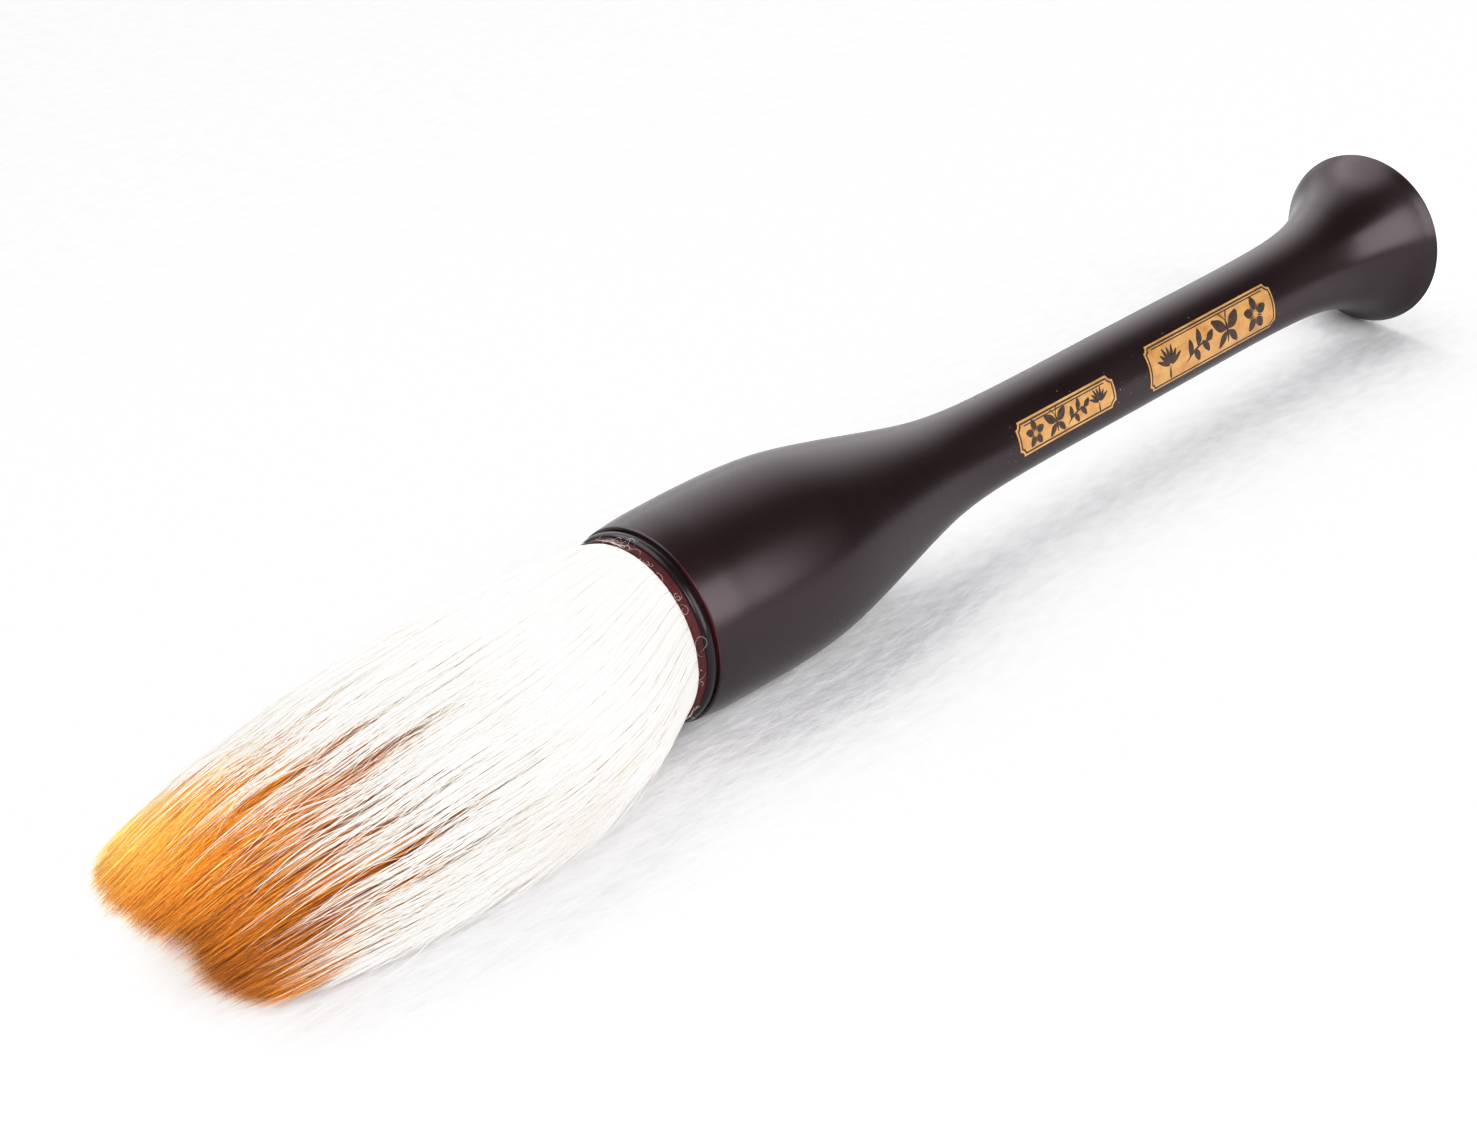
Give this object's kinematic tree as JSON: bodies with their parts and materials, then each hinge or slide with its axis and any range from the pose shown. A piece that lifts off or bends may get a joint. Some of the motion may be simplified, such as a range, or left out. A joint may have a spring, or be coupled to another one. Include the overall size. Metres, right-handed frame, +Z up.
{
  "type": "calligraphy brush",
  "caption": "Large grab-style calligraphy brush: bell-shaped lacquered cup, slim grip with flared tail, and a full tuft of white hair over an amber core, lying on its side.",
  "frame": {"origin": "on the plane that the brush lies on, under the middle of its bounding box", "axes": "+X along the brush from the tip of the tuft to the tail, +Z up from the plane it lies on, +Y to the side away from the labels"},
  "size_m": [0.347, 0.0588, 0.0408],
  "materials": {
    "black_lacquer": "near-black brown lacquer over turned wood, satin",
    "ring_lacquer": "black lacquer, semi-gloss",
    "maroon_lacquer": "red-brown lacquer, rubbed matt",
    "gold": "satin gold with dark filled lines",
    "rosin": "clear amber resin",
    "thread": "natural twisted thread",
    "amber_hair": "straight amber animal hair",
    "white_hair": "straight white goat hair"
  },
  "bodies": {
    "handle": {"hair_cup": "black_lacquer", "bead_ring": "ring_lacquer", "lining_sleeve": "maroon_lacquer", "grip_shaft": "black_lacquer", "tail_flare": "black_lacquer", "label_large": "gold", "label_small": "gold", "hair_root": "white_hair", "binding_thread": "thread", "rosin_plug": "rosin"},
    "tuft": {"core_hair": "amber_hair", "cover_hair": "white_hair"}
  },
  "joints": [
    {"name": "tuft_flex", "type": "hinge", "parent": "handle", "child": "tuft", "pos_m": [-0.068, 0, 0.0204], "axis": [0, 0, 1], "range_deg": [-35, 35], "stiffness_Nm_per_rad": 0.5, "deforming": ["core_hair", "cover_hair"]}
  ]
}
